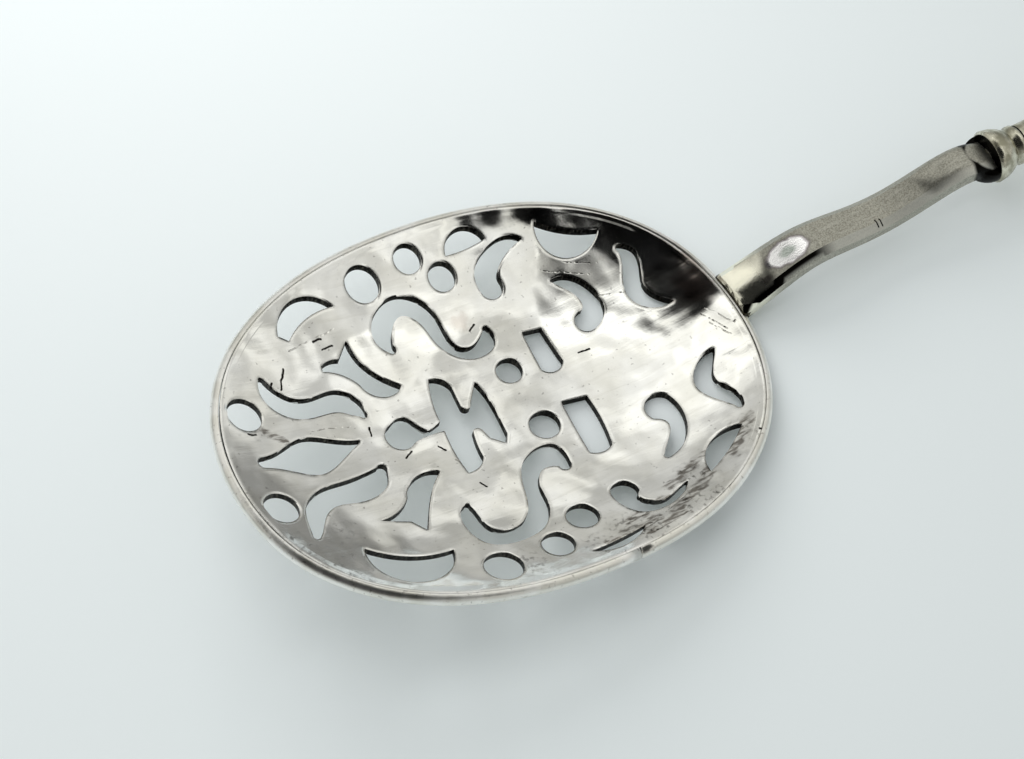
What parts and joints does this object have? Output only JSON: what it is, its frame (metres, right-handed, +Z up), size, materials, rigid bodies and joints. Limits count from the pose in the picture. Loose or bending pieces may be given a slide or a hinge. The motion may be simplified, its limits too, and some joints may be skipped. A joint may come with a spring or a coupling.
{
  "type": "mote spoon",
  "caption": "Small pierced oval bowl with an applied rim wire on a long slender stem with a turned collar and a barbed pointed end.",
  "frame": {"origin": "middle of the length and width, on the surface that the spoon rests on", "axes": "+X along the stem to its point, +Z up, the bowl open upwards at the -X end"},
  "size_m": [0.139, 0.025, 0.0083],
  "materials": {
    "bowl_silver": "worn hand-finished silver",
    "wire_silver": "worn hand-finished silver",
    "stem_silver": "worn hand-finished silver",
    "turned_silver": "worn turned silver",
    "solder": "dark solder line"
  },
  "bodies": {
    "root": {"bowl": "bowl_silver", "rim_wire": "wire_silver", "root_solder": "solder", "lower_stem": "stem_silver", "collar_ring": "turned_silver", "reel_ring": "turned_silver", "upper_stem": "turned_silver", "finial": "turned_silver"}
  },
  "joints": []
}
